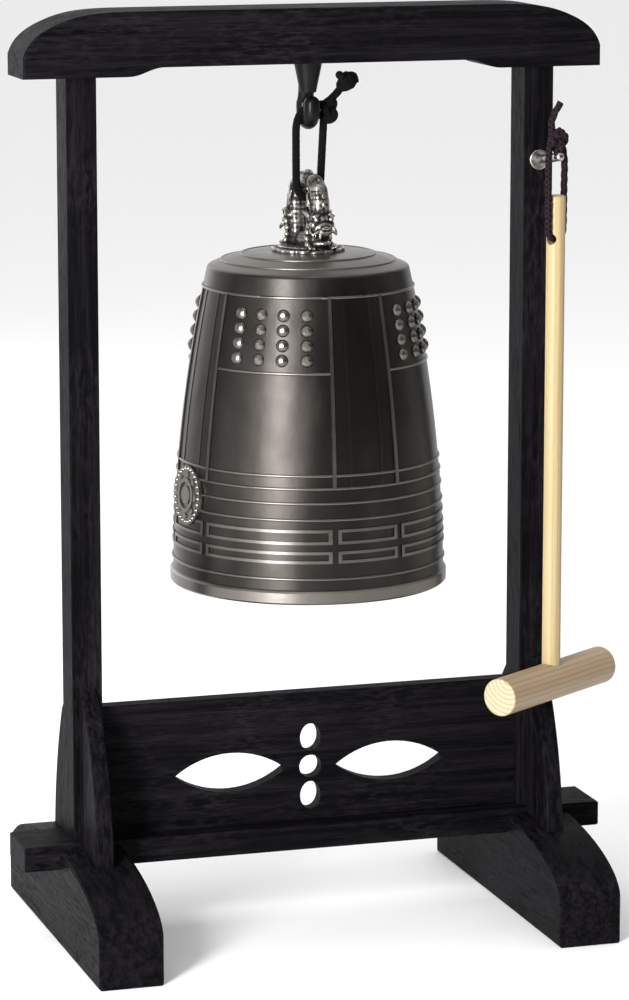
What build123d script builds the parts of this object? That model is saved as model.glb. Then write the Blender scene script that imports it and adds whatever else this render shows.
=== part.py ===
from build123d import *
import os
from math import asin, atan2, cos, degrees, pi, radians, sin, sqrt

# Small temple bell on a black wooden stand, with its T-shaped mallet.
# Millimetres, +Z up, the front faces -Y, X runs along the beam.
# The sizes below are measured from the middle of the stand, on the ground. The finished
# parts are moved by stand_x, so that the origin is the middle of the whole footprint.
stand_x = -4.8

# ---------------------------------------------------------------- fits
wood_gap = 0.15         # glued wood joints, all round
metal_gap = 0.10        # screws and studs in their holes
cord_gap = 0.30         # between a cord and a piece it moves on

# ---------------------------------------------------------------- feet
foot_length = 210.0
foot_width = 36.0
foot_offset = 0.5       # foot's middle outside the post's
foot_wall = 26.0        # upright part of each end, under the round top
foot_arch = 29.0        # rise of the round top above it
foot_ease = 1.0

# ---------------------------------------------------------------- rail
rail_overhang = 38.5    # beyond each post's middle
rail_depth = 37.0
rail_height = 14.0
rail_bottom = 44.0
rail_ease = 0.8

# ---------------------------------------------------------------- posts
post_width = 17.0
post_depth = 23.0
post_centre_x = 131.5
post_ease = 0.7
shoulder = 3.0          # each side of a tenon
post_tenon_down = 34.0  # through the rail and into the foot
post_tenon_up = 24.0    # into the beam

# ---------------------------------------------------------------- beam
beam_overhang = 33.5    # beyond each post's middle
beam_depth = 38.0
beam_bottom = 482.3
beam_height = 35.2
beam_slope = 70.0       # length of the slope at each end of the level top
beam_haunch_in = 17.0   # where the gentle slope turns down, from the end
beam_haunch_drop = 7.0
beam_end_height = 11.5  # height of the upright end face
recess_rise = 4.8       # the shallow cloud-shaped recess underneath
recess_inset = 24.5     # edge of the recess inside each post's middle
recess_run = 21.0       # length of its curved end
beam_ease = 1.2

# ---------------------------------------------------------------- panel
panel_thickness = 9.0
panel_height = 74.0
panel_tongue = 6.0      # runs into each post
panel_hole_height = 30.5   # centre of the cut-outs above the rail
leaf_length = 65.0
leaf_height = 22.5
leaf_centre_x = 47.3
pip_diameter = 13.0
pip_length = 16.0       # the two long pips
pip_width = 12.0
pip_pitch = 16.8
panel_ease = 0.6

# ---------------------------------------------------------------- braces
brace_thickness = 9.5
brace_height = 87.0     # above the rail
brace_knee_out = 18.5   # how far the knee stands out of the post
brace_knee_height = 67.0
brace_belly_out = 32.5
brace_belly_height = 30.0
brace_foot_out = 38.5
brace_housing = 8.0     # depth of the brace below the top of the rail
brace_ease = 0.8
dowel_diameter = 5.0
dowel_length = 16.0
dowel_height = 38.0     # above the rail

# ---------------------------------------------------------------- foot screws
screw_diameter = 5.0
screw_head_diameter = 9.5
screw_head_height = 3.0
screw_recess = 5.0
screw_grip = 16.0       # length inside the post's tenon

# ---------------------------------------------------------------- bell
bell_turn = 9.0         # the bell hangs a little turned on its cord
mouth_height = 197.5
mouth_diameter = 152.0
rim_height = 8.0
rim_proud = 1.6
side_middle_height = 100.0
side_bow = 4.39         # how far the side bows out past a straight line
shoulder_height = 177.0
shoulder_diameter = 112.0
dome_rise = 8.0
rim_wall = 7.5
side_wall = 5.0
top_wall = 6.0
shoulder_round = 2.5
rim_ease = 1.0

band_proud = 0.9        # horizontal ridges
band_thickness = 1.6
band_heights = (63.5, 70.5, 46.5, 55.5)
frame_heights = ((23.5, 28.5), (34.0, 40.5))   # lower and upper edges of the framed strips
frame_proud = 0.75
panel_frame_angle = 56.0
band_frame_angle = 26.0
rim_band_height = 14.0
relief_root = 1.0       # how far every relief is let into the side
upper_band_height = 166.0
boss_band_height = 125.5
panel_angle = 60.0
upright_proud = 1.1
upright_width = 1.9
inner_upright_proud = 0.35
inner_upright_angle = 7.5

boss_rows = 4
boss_columns = 4
boss_pitch_height = 8.0
boss_pitch_angle = 12.0
boss_diameter = 7.0
boss_length = 2.3
boss_base = 0.4
boss_waist = 1.5
boss_waist_radius = 2.6
boss_tip_radius = 1.1
boss_zone_middle = 144.5

medal_height = 53.0
medal_diameter = 33.0
medal_ring_width = 2.2
medal_inner_diameter = 19.0
medal_proud = 2.0
medal_field = 1.0
petal_width = 4.4
petal_proud = 0.7
medal_edge = 0.5        # plain metal between the medal's ornaments
bead_count = 28
bead_diameter = 2.4
bead_top_diameter = 1.2
bead_height = 0.9
petal_count = 8

plate_ring_diameters = (96.0, 74.0)
plate_ring_width = 1.6
plate_ring_proud = 0.7

# ---------------------------------------------------------------- crown
crown_flange_diameter = 42.0
crown_flange_thickness = 2.6
crown_height = 45.0     # above the dome
crown_bar_width = 9.5
crown_bar_height = 13.0
crown_eye_length = 17.0
crown_eye_height = 21.0
crown_length = 40.0
crown_head_width = 12.0
crown_head_height = 29.0
crown_stud_diameter = 8.0
crown_stud_length = 16.0
washer_diameter = 22.0
washer_thickness = 1.6
nut_across_flats = 13.0
nut_thickness = 6.5

# ---------------------------------------------------------------- bell hook
hook_bar_diameter = 9.0
hook_top_diameter = 16.0
hook_collar_length = 17.0
hook_drop = 33.0        # beam's underside to the middle of the hook's bar
hook_tip_rise = 3.0
hook_thread_diameter = 8.0
hook_thread_length = 20.0

# ---------------------------------------------------------------- bell cord
bell_cord_diameter = 4.4
knot_width = 8.0
knot_depth = 9.0
knot_height = 13.0
end_knot_diameter = 10.5
end_knot_length = 13.0
knot_rise = 6.4         # knots above the middle of the hook's bar
end_knot_rise = 21.9

# ---------------------------------------------------------------- mallet
handle_diameter = 10.5
handle_drop = 21.0      # handle's top below the peg
handle_bore_drop = 24.0  # cross bore below the handle's top
handle_bore_diameter = 6.4
handle_bore_ease = 1.0
handle_ease = 1.2
head_diameter = 21.2
head_length = 104.0
head_height = 137.0     # middle of the head above the ground
head_ease = 1.2
mallet_turn = 35.8      # angle of the head from the beam's direction
mallet_stand_off = 28.4  # handle's middle in front of the post
handle_socket = 15.0

# ---------------------------------------------------------------- mallet peg
peg_diameter = 5.0
peg_height = 434.0      # peg's middle where the cord hangs
peg_rise_angle = 8.0
peg_overhang = 7.0      # beyond the cord
peg_collar_diameter = 11.5
peg_collar_thickness = 1.8
peg_thread_length = 14.0

# ---------------------------------------------------------------- mallet cord
mallet_cord_diameter = 4.0
mallet_knot_width = 9.0
mallet_knot_depth = 9.0
mallet_knot_height = 13.0
mallet_knot_rise = 3.2  # knot's underside above the peg's middle

# ---------------------------------------------------------------- worked out
rail_top = rail_bottom + rail_height
foot_top = foot_wall + foot_arch
post_face = post_depth / 2
beam_top = beam_bottom + beam_height
recess_top = beam_bottom + recess_rise
panel_hole_z = rail_top + panel_hole_height
tenon_width = post_width - 2 * shoulder
tenon_depth = post_depth - 2 * shoulder
brace_bottom = rail_top - brace_housing

dome_top = mouth_height + shoulder_height + dome_rise
pad_radius = crown_flange_diameter / 2 + 1.0    # level pad under the crown
crown_top = dome_top + crown_height
crown_bar_bottom = crown_top - crown_bar_height
bell_cord_radius = bell_cord_diameter / 2
crown_turn_radius = crown_bar_width / 2 + cord_gap + bell_cord_radius
crown_cord_z = crown_bar_bottom - cord_gap - bell_cord_radius
hook_z = recess_top - hook_drop
hook_turn_radius = hook_bar_diameter / 2 + cord_gap + bell_cord_radius
knot_centre = (hook_turn_radius + knot_width / 2 + 0.5, -0.5, hook_z + knot_rise)
end_knot_centre = (knot_centre[0] + 9.5, -3.0, hook_z + end_knot_rise)
mallet_x = post_centre_x
mallet_y = -(post_face + mallet_stand_off)
mallet_cord_radius = mallet_cord_diameter / 2
handle_top = peg_height - handle_drop
handle_bore_height = handle_top - handle_bore_drop
peg_reach = mallet_stand_off / cos(radians(peg_rise_angle))
head_direction = (cos(radians(mallet_turn)), sin(radians(mallet_turn)))

os.makedirs("parts", exist_ok=True)


def save(builder, label):
    """Moves a finished part to its place about the origin, and writes its file."""
    placed = Pos(stand_x, 0, 0) * builder.part
    placed.label = label
    export_step(placed, f"parts/{label}.step")


def peg_plane(distance):
    """The plane across the peg, at this distance in front of the hanging cord."""
    rise = radians(peg_rise_angle)
    origin = (mallet_x, mallet_y - distance * cos(rise), peg_height + distance * sin(rise))
    return Plane(origin, x_dir=(1, 0, 0), z_dir=(0, -cos(rise), sin(rise)))


# ================================================================ stand
def build_foot(side, label):
    """A long foot with an arched top, housed for the rail, the braces and the post's tenon."""
    x = side * (post_centre_x + foot_offset)
    with BuildPart() as foot:
        with BuildSketch(Plane.YZ.offset(x - foot_width / 2)):
            with BuildLine():
                Line((-foot_length / 2, 0), (foot_length / 2, 0))
                Line((foot_length / 2, 0), (foot_length / 2, foot_wall))
                EllipticalCenterArc((0, foot_wall), foot_length / 2, foot_arch, start_angle=0, arc_size=180)
                Line((-foot_length / 2, foot_wall), (-foot_length / 2, 0))
            make_face()
        extrude(amount=foot_width)
        flanks = foot.faces().filter_by(Axis.X)
        chamfer(flanks.edges(), length=foot_ease)
        with Locations((x, 0, rail_bottom)):
            Box(2 * foot_width, rail_depth + 2 * wood_gap, 2 * foot_top,
                align=(Align.CENTER, Align.CENTER, Align.MIN), mode=Mode.SUBTRACT)
        brace_x = side * post_centre_x
        with Locations((brace_x, 0, brace_bottom - wood_gap)):
            Box(brace_thickness + 2 * wood_gap, post_depth + 2 * (brace_foot_out + wood_gap), foot_top,
                align=(Align.CENTER, Align.CENTER, Align.MIN), mode=Mode.SUBTRACT)
        with Locations((brace_x, 0, rail_top - post_tenon_down - wood_gap)):
            Box(tenon_width + 2 * wood_gap, tenon_depth + 2 * wood_gap, foot_top,
                align=(Align.CENTER, Align.CENTER, Align.MIN), mode=Mode.SUBTRACT)
        with Locations((brace_x, 0, 0)):
            Cylinder(screw_head_diameter / 2 + metal_gap, screw_recess,
                     align=(Align.CENTER, Align.CENTER, Align.MIN), mode=Mode.SUBTRACT)
            Cylinder(screw_diameter / 2 + metal_gap, foot_top,
                     align=(Align.CENTER, Align.CENTER, Align.MIN), mode=Mode.SUBTRACT)
    save(foot, label)


def build_rail():
    """The flat rail that lies across both feet, mortised for the posts and slotted for the panel."""
    with BuildPart() as rail:
        with Locations((0, 0, rail_bottom)):
            Box(2 * (post_centre_x + rail_overhang), rail_depth, rail_height, align=(Align.CENTER, Align.CENTER, Align.MIN))
        chamfer(rail.edges(), length=rail_ease)
        with Locations((-post_centre_x, 0, rail_bottom), (post_centre_x, 0, rail_bottom)):
            Box(tenon_width + 2 * wood_gap, tenon_depth + 2 * wood_gap, 3 * rail_height, mode=Mode.SUBTRACT)
    save(rail, "base_rail")


def build_post(side, label):
    """An upright with a tenon at each end and a groove for the panel's tongue."""
    x = side * post_centre_x
    with BuildPart() as post:
        with Locations((x, 0, rail_top)):
            Box(post_width, post_depth, beam_bottom - rail_top,
                align=(Align.CENTER, Align.CENTER, Align.MIN))
        chamfer(post.edges().filter_by(Axis.Z), length=post_ease)
        with Locations((x, 0, rail_top - post_tenon_down)):
            Box(tenon_width, tenon_depth, post_tenon_down + beam_bottom - rail_top + post_tenon_up,
                align=(Align.CENTER, Align.CENTER, Align.MIN))
        with Locations((x - side * post_width / 2, 0, rail_top)):
            Box(2 * (panel_tongue + wood_gap), panel_thickness + 2 * wood_gap, panel_height + wood_gap,
                align=(Align.CENTER, Align.CENTER, Align.MIN), mode=Mode.SUBTRACT)
        with Locations((x, 0, rail_top - post_tenon_down)):
            Cylinder(screw_diameter / 2 + metal_gap, screw_grip + metal_gap,
                     align=(Align.CENTER, Align.CENTER, Align.MIN), mode=Mode.SUBTRACT)
        for face_y in (-post_face, post_face):
            dowel_plane = Plane((x, face_y, rail_top + dowel_height), x_dir=(1, 0, 0), z_dir=(0, 1, 0))
            with BuildSketch(dowel_plane):
                Circle(dowel_diameter / 2 + metal_gap)
            extrude(amount=dowel_length / 4 + metal_gap, both=True, mode=Mode.SUBTRACT)
        if side > 0:
            with BuildSketch(peg_plane(-peg_reach - peg_thread_length - metal_gap)):
                Circle(peg_diameter / 2 + metal_gap)
            extrude(amount=peg_reach + peg_thread_length, mode=Mode.SUBTRACT)
    save(post, label)


def build_beam():
    """The top beam: drooping ends, a shallow recess underneath, mortises for the posts."""
    half = post_centre_x + beam_overhang
    recess_outer = post_centre_x - recess_inset
    recess_inner = recess_outer - recess_run
    beam_flat = half - beam_slope
    end_top = beam_bottom + beam_end_height
    with BuildPart() as beam:
        with BuildSketch(Plane.XZ.offset(-beam_depth / 2)):
            with BuildLine():
                Line((0, recess_top), (recess_inner, recess_top))
                Spline((recess_inner, recess_top), (recess_outer, beam_bottom), tangents=((1, 0), (1, 0)))
                Line((recess_outer, beam_bottom), (half, beam_bottom))
                Line((half, beam_bottom), (half, end_top))
                Spline((half, end_top), (half - beam_haunch_in, beam_top - beam_haunch_drop), (beam_flat, beam_top),
                       tangents=((-0.3, 1), (-1, 0)))
                Line((beam_flat, beam_top), (0, beam_top))
                mirror(about=Plane.YZ)
            make_face()
        extrude(amount=beam_depth)
        faces = beam.faces().filter_by(Axis.Y)
        fillet(faces.edges(), radius=beam_ease)
        with Locations((-post_centre_x, 0, beam_bottom), (post_centre_x, 0, beam_bottom)):
            Box(tenon_width + 2 * wood_gap, tenon_depth + 2 * wood_gap, 2 * (post_tenon_up + wood_gap),
                mode=Mode.SUBTRACT)
        with Locations((0, 0, recess_top)):
            Cylinder(hook_thread_diameter / 2 + metal_gap, 2 * (hook_thread_length + metal_gap),
                     mode=Mode.SUBTRACT)
    save(beam, "top_beam")


def build_panel():
    """The pierced panel between the posts: two leaves, and a round pip between two long ones."""
    inner_half = post_centre_x - post_width / 2
    leaf_radius = (leaf_length ** 2 / 4 + leaf_height ** 2 / 4) / leaf_height
    leaf_offset = leaf_radius - leaf_height / 2
    with BuildPart() as panel:
        with Locations((0, 0, rail_top)):
            Box(2 * (inner_half + panel_tongue), panel_thickness, panel_height,
                align=(Align.CENTER, Align.CENTER, Align.MIN))
        with BuildSketch(Plane.XZ.offset(-panel_thickness)):
            for leaf_x in (-leaf_centre_x, leaf_centre_x):
                left = (leaf_x - leaf_length / 2, panel_hole_z)
                right = (leaf_x + leaf_length / 2, panel_hole_z)
                with BuildLine():
                    ThreePointArc(left, (leaf_x, panel_hole_z + leaf_height / 2), right)
                    ThreePointArc(right, (leaf_x, panel_hole_z - leaf_height / 2), left)
                make_face()
            with Locations((0, panel_hole_z)):
                Circle(pip_diameter / 2)
            with Locations((0, panel_hole_z - pip_pitch), (0, panel_hole_z + pip_pitch)):
                Ellipse(pip_width / 2, pip_length / 2)
        extrude(amount=2 * panel_thickness, mode=Mode.SUBTRACT)
        pip_rims = panel.faces().filter_by(Axis.Y).edges().filter_by(
            lambda edge: abs(edge.center().X) < pip_diameter and edge.length < 4 * pip_length)
        chamfer(pip_rims, length=panel_ease)
    save(panel, "lower_panel")


def build_brace(side, front, label):
    """A thin board that steadies a post: on the rail, down beside it, and housed in the foot."""
    x = side * post_centre_x
    face = front * post_face
    with BuildPart() as brace:
        with BuildSketch(Plane.YZ.offset(x - brace_thickness / 2)):
            with BuildLine():
                Polyline(
                    (face, rail_top), (face, rail_top + brace_height),
                    (face + front * brace_knee_out, rail_top + brace_knee_height))
                ThreePointArc(
                    (face + front * brace_knee_out, rail_top + brace_knee_height),
                    (face + front * brace_belly_out, rail_top + brace_belly_height),
                    (face + front * brace_foot_out, brace_bottom))
                Polyline(
                    (face + front * brace_foot_out, brace_bottom),
                    (front * (rail_depth / 2 + wood_gap), brace_bottom),
                    (front * (rail_depth / 2 + wood_gap), rail_top), (face, rail_top))
            make_face()
        extrude(amount=brace_thickness)
        outer = brace.faces().filter_by(Axis.X).edges().filter_by(
            lambda edge: front * edge.center().Y > post_face + 2 and edge.center().Z > rail_top)
        chamfer(outer, length=brace_ease)
        with BuildSketch(Plane((x, face, rail_top + dowel_height), x_dir=(1, 0, 0), z_dir=(0, 1, 0))):
            Circle(dowel_diameter / 2 + metal_gap)
        extrude(amount=dowel_length - dowel_length / 4 + metal_gap, both=True, mode=Mode.SUBTRACT)
    save(brace, label)


def build_brace_dowels():
    """Four hidden dowels, one between each brace and its post."""
    with BuildPart() as dowels:
        for side in (-1, 1):
            for front in (-1, 1):
                inner = front * (post_face - dowel_length / 4)
                with BuildSketch(Plane((side * post_centre_x, inner, rail_top + dowel_height),
                                       x_dir=(1, 0, 0), z_dir=(0, front, 0))):
                    Circle(dowel_diameter / 2)
                extrude(amount=dowel_length)
    save(dowels, "brace_dowels")


def build_foot_screws():
    """Two countersunk wood screws, driven up through the feet into the posts' tenons."""
    top = rail_top - post_tenon_down + screw_grip
    with BuildPart() as screws:
        for side in (-1, 1):
            with BuildSketch(Plane.XZ):
                with BuildLine():
                    Polyline(
                        (0, screw_recess - screw_head_height), (screw_head_diameter / 2,
                                                                screw_recess - screw_head_height),
                        (screw_diameter / 2, screw_recess), (screw_diameter / 2, top - screw_diameter),
                        (0, top), (0, screw_recess - screw_head_height))
                make_face()
            screw = revolve(axis=Axis.Z, mode=Mode.PRIVATE)
            add(Pos(side * post_centre_x, 0, 0) * screw)
    save(screws, "foot_screws")


# ================================================================ hooks
def build_bell_hook():
    """A black iron hook: threaded into the beam, a tapered collar, then a round open curl."""
    curl_z = hook_z + hook_turn_radius
    bend_top = recess_top - hook_collar_length / 2
    bend_bottom = curl_z + hook_tip_rise
    drop = bend_top - bend_bottom
    half_turn = atan2(hook_turn_radius, drop)
    bend_radius = drop / (2 * sin(2 * half_turn))
    mid = (hook_turn_radius / 2, (bend_top + bend_bottom) / 2)
    with BuildPart() as hook:
        with BuildLine(Plane.YZ) as route:
            Line((0, recess_top), (0, bend_top))
            RadiusArc((0, bend_top), mid, bend_radius)
            RadiusArc(mid, (hook_turn_radius, bend_bottom), -bend_radius)
            Line((hook_turn_radius, bend_bottom), (hook_turn_radius, curl_z))
            CenterArc((0, curl_z), hook_turn_radius, 0, -180)
            Line((-hook_turn_radius, curl_z), (-hook_turn_radius, bend_bottom))
        with BuildSketch(Plane.XY.offset(recess_top)):
            Circle(hook_bar_diameter / 2)
        sweep(path=route.wires()[0])
        with Locations((0, -hook_turn_radius, bend_bottom)):
            Sphere(hook_bar_diameter / 2)
        with Locations((0, 0, recess_top)):
            Cone(hook_bar_diameter / 2, hook_top_diameter / 2, hook_collar_length,
                 align=(Align.CENTER, Align.CENTER, Align.MAX))
            Cylinder(hook_thread_diameter / 2, hook_thread_length,
                     align=(Align.CENTER, Align.CENTER, Align.MIN))
    save(hook, "bell_hook")


def build_mallet_peg():
    """The bright peg that the mallet hangs on, screwed into the front of the right post."""
    with BuildPart() as peg:
        with BuildSketch(peg_plane(-peg_reach - peg_thread_length)):
            Circle(peg_diameter / 2)
        extrude(amount=peg_reach + peg_thread_length + peg_overhang)
        tip = peg.faces().sort_by(Axis.Y)[0]
        fillet(tip.edges(), radius=peg_diameter / 2 - 0.3)
        collar_z = peg_height - peg_reach * sin(radians(peg_rise_angle))
        with BuildSketch(Plane((mallet_x, -post_face, collar_z), x_dir=(1, 0, 0), z_dir=(0, -1, 0))):
            Circle(peg_collar_diameter / 2)
        extrude(amount=peg_collar_thickness)
        rim = peg.edges().filter_by(GeomType.CIRCLE).filter_by(
            lambda edge: abs(edge.radius - peg_collar_diameter / 2) < 0.01).sort_by(Axis.Y)[0]
        fillet(rim, radius=peg_collar_thickness / 2)
    save(peg, "mallet_peg")


# ================================================================ bell
def side_curve():
    """Centre and radius of the arc that the bell's side follows, as (radius, height) pairs."""
    x1, y1 = shoulder_diameter / 2, shoulder_height
    x3, y3 = mouth_diameter / 2, rim_height
    y2 = side_middle_height
    x2 = x3 + (x1 - x3) * (y2 - y3) / (y1 - y3) + side_bow
    a = x1 * (y2 - y3) - y1 * (x2 - x3) + x2 * y3 - x3 * y2
    s1, s2, s3 = x1 ** 2 + y1 ** 2, x2 ** 2 + y2 ** 2, x3 ** 2 + y3 ** 2
    cx = (s1 * (y2 - y3) + s2 * (y3 - y1) + s3 * (y1 - y2)) / (2 * a)
    cy = (s1 * (x3 - x2) + s2 * (x1 - x3) + s3 * (x2 - x1)) / (2 * a)
    return cx, cy, sqrt((x1 - cx) ** 2 + (y1 - cy) ** 2)


side_x, side_z, side_radius = side_curve()


def skin(height):
    """Outer radius of the bell's side at this height above the mouth."""
    return side_x + sqrt(side_radius ** 2 - (height - side_z) ** 2)


def lean(height):
    """How far the side leans inward at this height, in degrees."""
    return degrees(asin((height - side_z) / side_radius))


def plate_z(radius):
    """Height of the domed top plate above the ground, this far from the bell's axis."""
    fall = (radius - pad_radius) / (shoulder_diameter / 2 - pad_radius)
    return dome_top - dome_rise * fall ** 2


def ridge_section(height, thickness, proud):
    """Rounded section of a level ridge on the bell's side, as a sketch in (radius, z)."""
    low, high = height - thickness / 2, height + thickness / 2
    with BuildSketch() as section:
        with BuildLine():
            Polyline((skin(low), low + mouth_height), (skin(low) - relief_root, low + mouth_height),
                     (skin(high) - relief_root, high + mouth_height), (skin(high), high + mouth_height))
            ThreePointArc((skin(high), high + mouth_height), (skin(height) + proud, height + mouth_height),
                          (skin(low), low + mouth_height))
        make_face()
    return section.sketch


def upright_section(low, high, proud, root):
    """Section that follows the bell's side between two heights, from its root out to the ridge's face."""
    with BuildSketch() as section:
        with BuildLine():
            side = [(skin(height) + proud, height + mouth_height) for height in (low, (low + high) / 2, high)]
            ThreePointArc(*side)
            Polyline(side[2], (skin(high) - root, high + mouth_height),
                     (skin(low) - root, low + mouth_height), side[0])
        make_face()
    return section.sketch


def polar_plane(angle):
    """The upright plane through the bell's axis whose x direction points outward at this angle."""
    turn = radians(angle)
    return Plane((0, 0, 0), x_dir=(cos(turn), sin(turn), 0), z_dir=(sin(turn), -cos(turn), 0))


def side_plane(angle, height):
    """A plane square to the bell's side at this angle and height."""
    turn, tip = radians(angle), radians(lean(height))
    outward = (cos(turn) * cos(tip), sin(turn) * cos(tip), sin(tip))
    origin = (skin(height) * cos(turn), skin(height) * sin(turn), height + mouth_height)
    return Plane(origin, x_dir=(-sin(turn), cos(turn), 0), z_dir=outward)


def sector(section, angle, width_angle):
    """A ridge section turned about the bell's axis over one stretch, centred on this angle."""
    with BuildPart() as ridge:
        with BuildSketch(polar_plane(angle - width_angle / 2)):
            add(section)
        revolve(axis=Axis.Z, revolution_arc=width_angle)
    return ridge.part


def strip_frame(low, high, middle, angle, post_angle):
    """One framed strip: a flat raised border round an oblong field on the bell's side."""
    edge = band_thickness / 2
    border = upright_section(low - edge, high + edge, frame_proud, relief_root)
    field = upright_section(low + edge, high - edge, 2 * frame_proud, 2 * relief_root)
    return sector(border, middle, angle + post_angle) - sector(field, middle, angle - post_angle)


def panel_relief(middle):
    """The ridges of one panel: four uprights, the bar under the bosses, and the frames below."""
    low, high = band_heights[0], upper_band_height
    strong = upright_section(low, high, upright_proud, relief_root)
    faint = upright_section(low, high, inner_upright_proud, relief_root)
    strong_angle = degrees(upright_width / skin(side_middle_height))
    ridges = [sector(ridge_section(boss_band_height, band_thickness, band_proud), middle, panel_angle)]
    for side in (-1, 1):
        ridges.append(sector(strong, middle + side * panel_angle / 2, strong_angle))
        ridges.append(sector(faint, middle + side * (panel_angle / 2 + inner_upright_angle), strong_angle))
    for low, high in frame_heights:
        ridges.append(strip_frame(low, high, middle, panel_frame_angle, strong_angle))
        ridges.append(strip_frame(low, high, middle + 45, band_frame_angle, strong_angle))
    return ridges


def make_boss():
    """One pointed boss, standing on the plane at z = 0 with a root below it."""
    radius = boss_diameter / 2
    with BuildPart() as boss:
        with BuildSketch(Plane.XZ):
            Polygon((0, -relief_root), (radius, -relief_root), (radius, boss_base),
                    (boss_waist_radius, boss_waist), (boss_tip_radius, boss_length), (0, boss_length),
                    align=None)
        revolve(axis=Axis.Z)
    return boss.part


def make_medal():
    """One round striking place: a beaded ring, petals, an inner ring and a raised middle."""
    outer, inner = medal_diameter / 2, medal_inner_diameter / 2
    bead_circle = outer - bead_diameter / 2 - medal_edge
    petal_length = bead_circle - bead_diameter / 2 - inner - 2 * medal_edge
    with BuildPart() as medal:
        with BuildSketch(Plane.XY.offset(-relief_root)):
            Circle(outer)
        extrude(amount=relief_root + medal_field)
        with BuildSketch(Plane.XY.offset(medal_field)):
            Circle(inner)
            Circle(inner - medal_ring_width, mode=Mode.SUBTRACT)
        extrude(amount=medal_proud - medal_field)
        with BuildSketch(Plane.XY.offset(medal_field)):
            with PolarLocations(inner + medal_edge + petal_length / 2, petal_count):
                Ellipse(petal_length / 2, petal_width / 2)
            Circle(inner - 2 * medal_ring_width)
        extrude(amount=petal_proud)
        with Locations(Plane.XY.offset(medal_field)):
            with PolarLocations(bead_circle, bead_count):
                Cone(bead_diameter / 2, bead_top_diameter / 2, bead_height,
                     align=(Align.CENTER, Align.CENTER, Align.MIN))
    return medal.part


def build_bell():
    """The hollow bell with its ridges, bosses and the two round striking places."""
    top_z = mouth_height + shoulder_height
    rim_radius = mouth_diameter / 2 + rim_proud
    inner_mouth = rim_radius - rim_wall
    inner_top_radius = skin(shoulder_height) - 2 * side_wall
    plate_middle = (pad_radius + skin(shoulder_height)) / 2
    reliefs = []
    boss = make_boss()
    for quarter in range(4):
        middle = bell_turn + 45 + 90 * quarter
        reliefs += panel_relief(middle)
        for row in range(boss_rows):
            height = boss_zone_middle + (row - (boss_rows - 1) / 2) * boss_pitch_height
            for column in range(boss_columns):
                angle = middle + (column - (boss_columns - 1) / 2) * boss_pitch_angle
                reliefs.append(side_plane(angle, height).location * boss)
    medal = make_medal()
    for angle in (bell_turn, bell_turn + 180):
        reliefs.append(side_plane(angle, medal_height).location * medal)
    with BuildPart() as bell:
        with BuildSketch(Plane.XZ):
            with BuildLine():
                Polyline((inner_mouth, mouth_height), (rim_radius - rim_ease, mouth_height),
                         (rim_radius, mouth_height + rim_ease),
                         (rim_radius, mouth_height + rim_height - rim_proud),
                         (skin(rim_height), mouth_height + rim_height))
                ThreePointArc((skin(rim_height), mouth_height + rim_height),
                              (skin(side_middle_height), mouth_height + side_middle_height),
                              (skin(shoulder_height), top_z))
                ThreePointArc((skin(shoulder_height), top_z), (plate_middle, plate_z(plate_middle)),
                              (pad_radius, dome_top))
                Polyline((pad_radius, dome_top), (0, dome_top), (0, dome_top - top_wall),
                         (pad_radius, dome_top - top_wall))
                ThreePointArc((pad_radius, dome_top - top_wall),
                              (inner_top_radius * 0.75, top_z - top_wall + dome_rise * 0.5),
                              (inner_top_radius, top_z - top_wall))
                ThreePointArc((inner_top_radius, top_z - top_wall),
                              (skin(side_middle_height) - side_wall, mouth_height + side_middle_height),
                              (inner_mouth, mouth_height))
            make_face()
        revolve(axis=Axis.Z)
        shoulder_edge = bell.edges().filter_by(GeomType.CIRCLE).filter_by(
            lambda edge: abs(edge.center().Z - top_z) < 0.01)
        fillet(shoulder_edge, radius=shoulder_round)
        with BuildSketch(Plane.XZ):
            for height in (upper_band_height, rim_band_height) + band_heights:
                add(ridge_section(height, band_thickness, band_proud))
            for diameter in plate_ring_diameters:
                with Locations((diameter / 2, plate_z(diameter / 2))):
                    Ellipse(plate_ring_width / 2, plate_ring_proud)
        revolve(axis=Axis.Z)
        add(reliefs)
        with Locations((0, 0, dome_top - top_wall / 2)):
            Cylinder(crown_stud_diameter / 2 + metal_gap, 2 * top_wall, mode=Mode.SUBTRACT)
    save(bell, "bell_body")


# ================================================================ crown
def crown_frame(offset=0.0):
    """The upright plane along the crown's length, this far to one side of the bell's axis."""
    turn = radians(bell_turn)
    side = (cos(turn), sin(turn), 0)
    along = (-sin(turn), cos(turn), 0)
    origin = (offset * side[0], offset * side[1], dome_top)
    return Plane(origin, x_dir=along, z_dir=side)


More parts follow.
